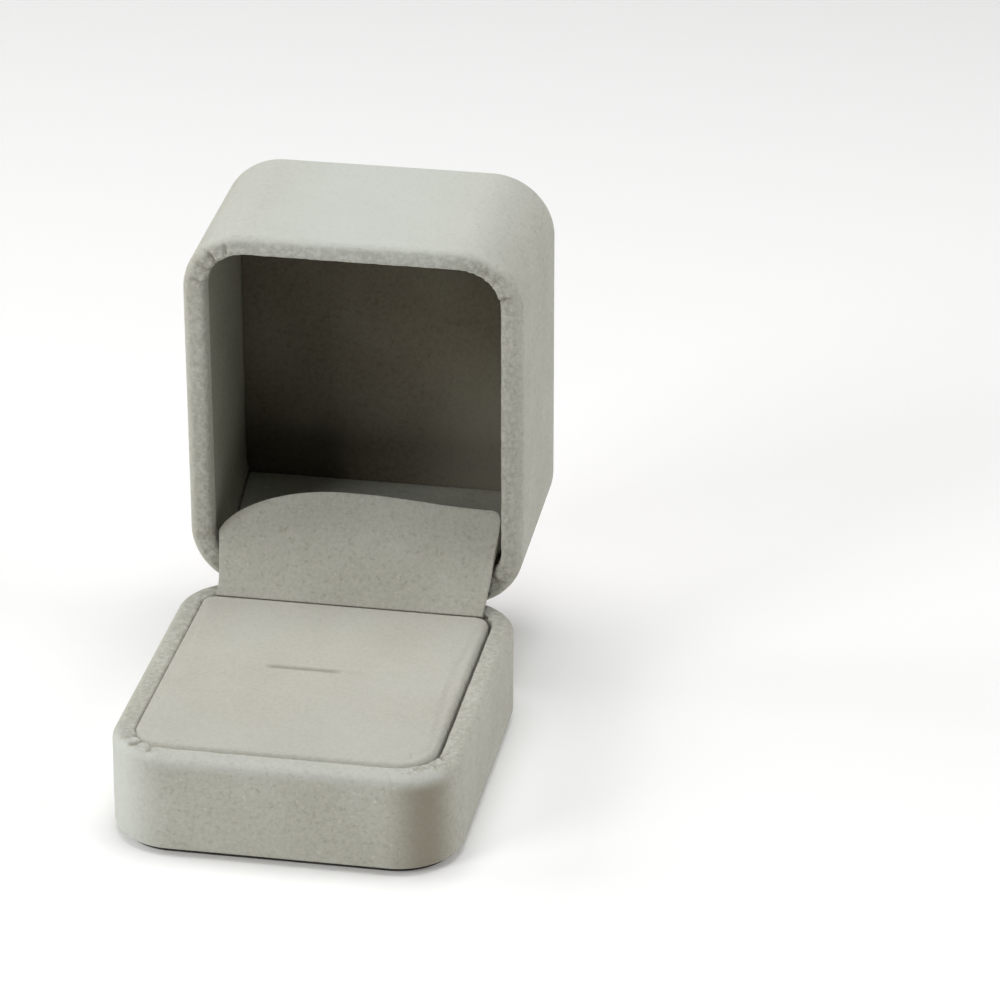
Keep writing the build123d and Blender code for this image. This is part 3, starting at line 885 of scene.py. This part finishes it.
def cutSlit(piece, look):
    # Sinks one row of the pad into a narrow slit with soft lips.
    rows = sorted({round(vertex.co.y, 3) for vertex in piece.data.vertices
                   if abs(vertex.co.x) < 4 and vertex.co.z > padHigh.z - 1.5})
    centre = min(rows, key=lambda row: abs(row - look["y"]))
    index = rows.index(centre)
    before, after = rows[index - 1], rows[index + 1]

    def change(place, normal):
        if place.z < padHigh.z - 1.5 or abs(place.x) > look["half"] + 0.6:
            return place
        part = slitOpen(place.x, look)
        wander = 0.10 * fuzz(Vector((place.x, 0, 0)), 3.0, 21)
        if abs(place.y - centre) < 0.01:
            place.z -= part * look["deep"]
            place.y += wander
        elif abs(place.y - before) < 0.01:
            place.y += part * (centre - look["gap"] - before) + wander
            place.z -= part * look["lip"]
        elif abs(place.y - after) < 0.01:
            place.y += part * (centre + look["gap"] - after) + wander
            place.z -= part * look["lip"]
        return place
    moveVertices(piece, change)


def makeRingPad():
    look = {"grid": (110, 121), "edge": 0.8, "crown": 0.3, "sink": 0.12, "uneven": 0.10, "tufts": 0.03,
            "seed": 31, "ragged": 0.16}
    slit = {"y": 0.1, "half": 7.3, "clear": 2.6, "deep": 2.6, "gap": 0.12, "lip": 0.10}
    # The soft sides press against the rim at the left and the front, and stand off at the right.
    grown = {"left": 0.40, "right": -0.1, "front": 0.35, "rear": 0.42}
    low = padLow - Vector((grown["left"], grown["front"], 0))
    high = padHigh + Vector((grown["right"], grown["rear"], 0))
    piece = makeCushion("ringPad", low, high, (5.7, 2.2), look)
    coarse = makeCushion("ringPadCoarse", low, high, (5.7, 2.2), dict(look, grid=(36, 40)))
    swell(piece, coarse, {"scale": 0.05, "free": 1.4, "tension": 15, "bending": 0.6, "pressure": 0.3,
                          "frames": 14, "cap": 0.15})
    cutSlit(piece, slit)

    def worn(place):
        edge = max(abs(place.x) / (padHigh.x + 0.1), abs(place.y - 0.5 * (padLow.y + padHigh.y))
                   / (0.5 * (padHigh.y - padLow.y) + 0.1))
        return 0.30 * smoothStep(edge, 0.93, 1.0) * (0.5 + 0.5 * fuzz(place, 0.8, 33))

    # Painted shade along the open part of the slit.
    def soiled(place):
        return 0.45 * exp(-((place.y - slit["y"]) / 0.4) ** 2) * slitOpen(place.x, slit)
    paint(piece, "worn", worn)
    paint(piece, "soiled", soiled)
    paint(piece, "brushed", lambda place: 0.15 * smoothStep(fuzz(place, 14, 35), -0.3, 0.5))
    finishPiece(piece, "base", padVelvet, ["pad_velvet"])
    return piece


def makeTopPad():
    look = {"grid": (100, 116), "edge": 2.3, "crown": 0.85, "sink": 0.05, "uneven": 0.16, "tufts": 0.03,
            "seed": 41}
    corner = boxSize["corner"] - boxSize["rim"] - 0.15
    piece = makeCushion("topPad", topPadLow, topPadHigh, (corner, corner), look)
    coarse = makeCushion("topPadCoarse", topPadLow, topPadHigh, (corner, corner), dict(look, grid=(36, 40)))
    swell(piece, coarse, {"scale": 0.05, "free": 2.8, "tension": 15, "bending": 0.6, "pressure": 0.7,
                          "frames": 14, "cap": 0.5})
    finishPiece(piece, "lid", pinkVelvet, ["top_pad_velvet"], turned=True)
    return piece


makeRingPad()
makeTopPad()
print("pads made")


flapLook = {"lean": 50.0, "footLeft": 19.95, "footRight": 19.9, "left": 21.1, "right": 20.95,
            "tall": 17.2, "drop": 0.95, "sag": 9.6, "sagWidth": 19.0, "corner": 1.4,
            "thickness": 1.15, "card": 0.35, "soft": 0.34}
flapPlace = Matrix.Translation(flapPoint) @ Matrix.Rotation(radians(flapLook["lean"]), 4, "X")


def flapCrest(x):
    # The top edge: highest in the middle, sagging away at the left corner.
    height = flapLook["tall"]
    if x > -1:
        height -= flapLook["drop"] * (1 - cos(pi * min(1, (x + 1) / 20))) / 2
    away = min(1, (x + flapLook["left"] + 0.6) / flapLook["sagWidth"])
    height -= flapLook["sag"] * (1 - sqrt(max(0, 1 - (1 - away) ** 2)))
    right = flapLook["right"] - x
    if right < flapLook["corner"]:
        corner = flapLook["corner"]
        height -= corner - sqrt(max(0, corner ** 2 - (corner - right) ** 2))
    return height


def makeFlapSheet(name, inset, thickness, grid):
    # A sheet in the outline of the flap, laid flat on its pivot line.
    clearSelection()
    bpy.ops.mesh.primitive_grid_add(x_subdivisions=grid[0], y_subdivisions=grid[1], size=1)
    piece = bpy.context.object
    piece.name = piece.data.name = name

    def change(place, normal):
        u, v = place.x + 0.5, place.y + 0.5
        x = -flapLook["left"] + u * (flapLook["left"] + flapLook["right"])
        along = inset + v * max(0.5, flapCrest(x) - 2 * inset)
        spread = min(1, along / 13)
        flare = smoothStep(along, 1.0, 13.0)
        left = flapLook["footLeft"] + (flapLook["left"] - flapLook["footLeft"]) * flare - inset
        right = flapLook["footRight"] + (flapLook["right"] - flapLook["footRight"]) * spread - inset
        x = -left + u * (left + right)
        lift = 0.07 * fuzz(Vector((x, along, 0)), 7, 51)
        if not inset:
            lift += 0.02 * fuzz(Vector((x, along, 0)), 0.7, 52)
        return Vector((x, along, thickness / 2 + lift))
    moveVertices(piece, change)
    thicken(piece, thickness)
    return piece


def makeFlap():
    piece = makeFlapSheet("hingeFlap", 0.0, flapLook["thickness"], (96, 40))
    softenEdge(piece, flapLook["soft"])

    def edgeNearness(place, reach):
        return 1 - smoothStep(flapCrest(place.x) - place.y, 0.1, reach)
    paint(piece, "worn", lambda place: 0.4 * edgeNearness(place, 1.0))
    # Painted shadow along the left part of the top edge.
    paint(piece, "soiled", lambda place: 0.5 * edgeNearness(place, 2.2) * (1 - smoothStep(place.x, -20, -11)))
    # Painted highlight along the top edge.
    paint(piece, "brushed", lambda place: 0.25 * edgeNearness(place, 4.0))
    piece.data.transform(flapPlace)
    return finishPiece(piece, "flap", greyVelvet, ["flap_velvet"])


def makeFlapCard():
    # The card inside the flap follows the same sagging corner.
    piece = makeFlapSheet("flapCard", 0.7, flapLook["card"], (60, 24))
    piece.data.transform(flapPlace)
    return finishPiece(piece, "flap", boardPaper, ["flap_card"])


makeFlap()
makeFlapCard()
print("flap made")


def makeSpring():
    node = frame["nodes"]["hinge_spring"]
    clearSelection()
    piece = node.copy()
    piece.data = node.data.copy()
    piece.parent = None
    piece.matrix_world = Matrix.Identity(4)
    bpy.context.scene.collection.objects.link(piece)
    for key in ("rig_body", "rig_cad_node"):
        if key in piece:
            del piece[key]
    piece.name = piece.data.name = "bowSpring"
    editPiece(piece)
    bpy.ops.mesh.select_all(action="SELECT")
    bpy.ops.mesh.remove_doubles(threshold=0.000001)
    clearSelection()
    piece.data.materials.clear()
    piece.data.materials.append(springSteel)
    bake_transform(piece)
    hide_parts("hinge_spring")
    return piece


makeSpring()
print("spring made")


studio = {"key": 2.5, "fill": 1.9, "top": 4.0, "left": 2.4, "world": 0.02,
          "floor": (0.95, 0.95, 0.945, 1), "glow": 0.08}


def makeFloor():
    clearSelection()
    bpy.ops.mesh.primitive_plane_add(size=6, location=(0, 0, 0))
    floor = bpy.context.object
    floor.name = floor.data.name = "floor"
    material, tree, shader, place = startMaterial("floorCard", studio["floor"])
    shader.inputs["Base Color"].default_value = studio["floor"]
    shader.inputs["Roughness"].default_value = 0.9
    shader.inputs["Emission Color"].default_value = (1, 1, 1, 1)
    shader.inputs["Emission Strength"].default_value = studio["glow"]
    floor.data.materials.append(material)


def makeWorld():
    world = bpy.data.worlds.new("studio")
    bpy.context.scene.world = world
    world.use_nodes = True
    tree = world.node_tree
    tree.nodes.clear()
    rays = tree.nodes.new("ShaderNodeLightPath")
    seen = addMath(tree, "MAXIMUM", rays.outputs["Is Camera Ray"], rays.outputs["Is Glossy Ray"])
    seen = addMath(tree, "MAXIMUM", seen, rays.outputs["Is Transmission Ray"])
    ambient = addNode(tree, "ShaderNodeBackground", {"Color": (1, 1, 1, 1), "Strength": studio["world"]})
    white = addNode(tree, "ShaderNodeBackground", {"Color": (1, 1, 1, 1), "Strength": 1.0})
    mix = tree.nodes.new("ShaderNodeMixShader")
    tree.links.new(seen, mix.inputs[0])
    tree.links.new(ambient.outputs[0], mix.inputs[1])
    tree.links.new(white.outputs[0], mix.inputs[2])
    output = tree.nodes.new("ShaderNodeOutputWorld")
    tree.links.new(mix.outputs[0], output.inputs["Surface"])


def addLamp(name, place, aim, size, strength):
    clearSelection()
    bpy.ops.object.light_add(type="AREA", location=place)
    lamp = bpy.context.object
    lamp.name = name
    lamp.data.shape = "SQUARE"
    lamp.data.size = size
    lamp.data.energy = strength
    lamp.rotation_mode = "QUATERNION"
    lamp.rotation_quaternion = (Vector(aim) - Vector(place)).to_track_quat("-Z", "Y")


def makeCamera():
    # Where the picture was taken from: angles in degrees, place in metres.
    view = {"yaw": 9.711, "pitch": 24.807, "roll": 0.395, "place": (0.126508, -0.58573, 0.319846),
            "lens": 169.09, "sensor": 36.0}
    yaw, pitch, roll = (radians(view[key]) for key in ("yaw", "pitch", "roll"))
    ahead = Vector((-sin(yaw) * cos(pitch), cos(yaw) * cos(pitch), -sin(pitch)))
    right = Vector((cos(yaw), sin(yaw), 0))
    up = right.cross(ahead)
    rolledRight = cos(roll) * right + sin(roll) * up
    rolledUp = cos(roll) * up - sin(roll) * right
    bpy.ops.object.camera_add(location=view["place"])
    camera = bpy.context.object
    turn = Matrix((rolledRight, rolledUp, -ahead)).transposed()
    camera.matrix_world = Matrix.Translation(view["place"]) @ turn.to_4x4()
    camera.data.lens = view["lens"]
    camera.data.sensor_width = view["sensor"]
    camera.data.clip_start = 0.01
    bpy.context.scene.camera = camera


makeFloor()
makeWorld()
target = (0, 0.015, 0.025)
addLamp("keyLamp", (-0.52, -0.56, 0.40), target, 0.34, studio["key"])
addLamp("leftLamp", (-0.75, 0.05, 0.35), target, 0.5, studio["left"])
addLamp("fillLamp", (0.65, -0.02, 0.42), target, 0.6, studio["fill"])
addLamp("topLamp", (0.02, 0.05, 0.8), target, 0.5, studio["top"])
makeCamera()
bpy.context.scene.view_settings.view_transform = "Standard"
print("stage set")
